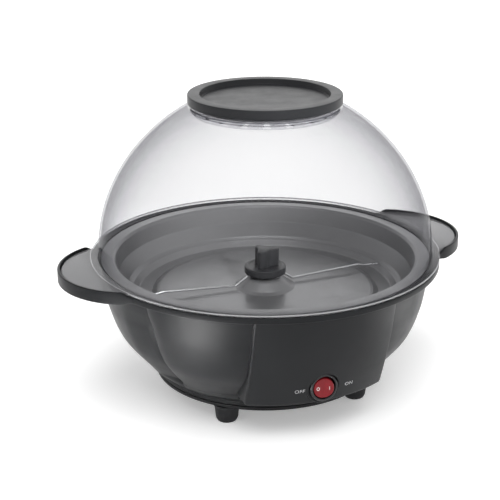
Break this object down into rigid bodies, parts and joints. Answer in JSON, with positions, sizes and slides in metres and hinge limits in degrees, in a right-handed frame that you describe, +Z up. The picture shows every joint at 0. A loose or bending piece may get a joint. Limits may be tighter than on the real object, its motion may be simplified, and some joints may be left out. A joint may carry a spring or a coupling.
{
  "type": "popcorn maker",
  "caption": "Stirring popcorn maker: lobed plastic base with heated non-stick pan, geared stirrer with wire arms, clear lift-off dome with vent cap, red rocker switch.",
  "frame": {"origin": "on the floor under the middle of the object", "axes": "+Z up; -Y is the front, where the switch is; the two handles lie on X"},
  "size_m": [0.362, 0.3, 0.2607],
  "materials": {
    "shell_plastic": "satin charcoal",
    "ring_plastic": "satin charcoal",
    "cover_plastic": "matt black",
    "foot_rubber": "matt black",
    "fastener_steel": "zinc plated",
    "pan_coating": "dark grey non-stick coating",
    "cast_aluminium": "as cast",
    "element_sheath": "heat-darkened sheath",
    "shield_aluminium": "rolled sheet",
    "plated_steel": "zinc plated",
    "black_phenolic": "moulded phenolic",
    "white_nylon": "natural nylon",
    "rotor_magnet": "ferrite",
    "coil_enamel": "enamelled copper",
    "brass": "plain",
    "stirrer_plastic": "satin charcoal",
    "arm_chrome": "polished wire",
    "clear_plastic": "clear, polished",
    "cap_plastic": "satin charcoal",
    "switch_plastic": "black",
    "rocker_red": "gloss red with white marks",
    "grommet_rubber": "black",
    "grey_insulation": "heat-proof sleeve",
    "brown_insulation": "PVC",
    "blue_insulation": "PVC"
  },
  "bodies": {
    "base": {"base_shell": "shell_plastic", "top_ring": "ring_plastic", "bottom_cover": "cover_plastic", "foot_1": "foot_rubber", "foot_2": "foot_rubber", "foot_3": "foot_rubber", "foot_4": "foot_rubber", "foot_screw_1": "fastener_steel", "foot_screw_2": "fastener_steel", "foot_screw_3": "fastener_steel", "foot_screw_4": "fastener_steel", "cover_screw_1": "fastener_steel", "cover_screw_2": "fastener_steel", "cover_screw_3": "fastener_steel", "cover_screw_4": "fastener_steel", "popping_pan": "pan_coating", "heating_plate": "cast_aluminium", "heating_element": "element_sheath", "element_clamp_1": "plated_steel", "element_clamp_2": "plated_steel", "element_clamp_3": "plated_steel", "thermostat": "black_phenolic", "thermal_fuse": "white_nylon", "heat_shield": "shield_aluminium", "mounting_stud_1": "fastener_steel", "mounting_stud_2": "fastener_steel", "mounting_stud_3": "fastener_steel", "shield_spacer_1": "fastener_steel", "shield_spacer_2": "fastener_steel", "shield_spacer_3": "fastener_steel", "stud_nut_1": "fastener_steel", "stud_nut_2": "fastener_steel", "stud_nut_3": "fastener_steel", "motor_bracket": "plated_steel", "motor_case": "plated_steel", "motor_cover": "plated_steel", "gear_plate": "plated_steel", "stator_coil": "coil_enamel", "shaft_bushing": "brass", "switch_body": "switch_plastic", "switch_terminal_1": "brass", "switch_terminal_2": "brass", "cord_grommet": "grommet_rubber", "terminal_block": "white_nylon", "wire_element_left": "grey_insulation", "wire_element_right": "grey_insulation", "wire_motor": "brown_insulation", "wire_switch": "blue_insulation"},
    "drive": {"output_gear": "white_nylon", "drive_shaft": "plated_steel"},
    "idler": {"idler_gear": "white_nylon"},
    "rotor": {"rotor": "rotor_magnet"},
    "stirrer": {"stirrer_hub": "stirrer_plastic", "stirrer_knob": "stirrer_plastic", "stirrer_arm_left": "arm_chrome", "stirrer_arm_right": "arm_chrome"},
    "dome": {"dome_cover": "clear_plastic", "vent_grille": "clear_plastic"},
    "cap": {"vent_cap": "cap_plastic"},
    "rocker": {"switch_rocker": "rocker_red"}
  },
  "joints": [
    {"name": "drive_spin", "type": "hinge", "parent": "base", "child": "drive", "pos_m": [0, 0, 0.06], "axis": [0, 0, 1], "continuous": true},
    {"name": "idler_spin", "type": "hinge", "parent": "base", "child": "idler", "pos_m": [-0.01316, 0.0076, 0.051], "axis": [0, 0, 1], "continuous": true},
    {"name": "rotor_spin", "type": "hinge", "parent": "base", "child": "rotor", "pos_m": [0, 0.0152, 0.04], "axis": [0, 0, 1], "continuous": true},
    {"name": "stirrer_lift", "type": "slide", "parent": "drive", "child": "stirrer", "axis": [0, 0, 1], "range_m": [0, 0.06]},
    {"name": "dome_lift", "type": "slide", "parent": "base", "child": "dome", "axis": [0, 0, 1], "range_m": [0, 0.2]},
    {"name": "cap_lift", "type": "slide", "parent": "dome", "child": "cap", "axis": [0, 0, 1], "range_m": [0, 0.05]},
    {"name": "switch_rock", "type": "hinge", "parent": "base", "child": "rocker", "pos_m": [0, -0.1242, 0.0482], "axis": [0, 0, 1], "range_deg": [0, 18]}
  ],
  "couplings": [
    {"joint": "idler_spin", "follows": "drive_spin", "ratio": -4},
    {"joint": "rotor_spin", "follows": "drive_spin", "ratio": 16}
  ]
}
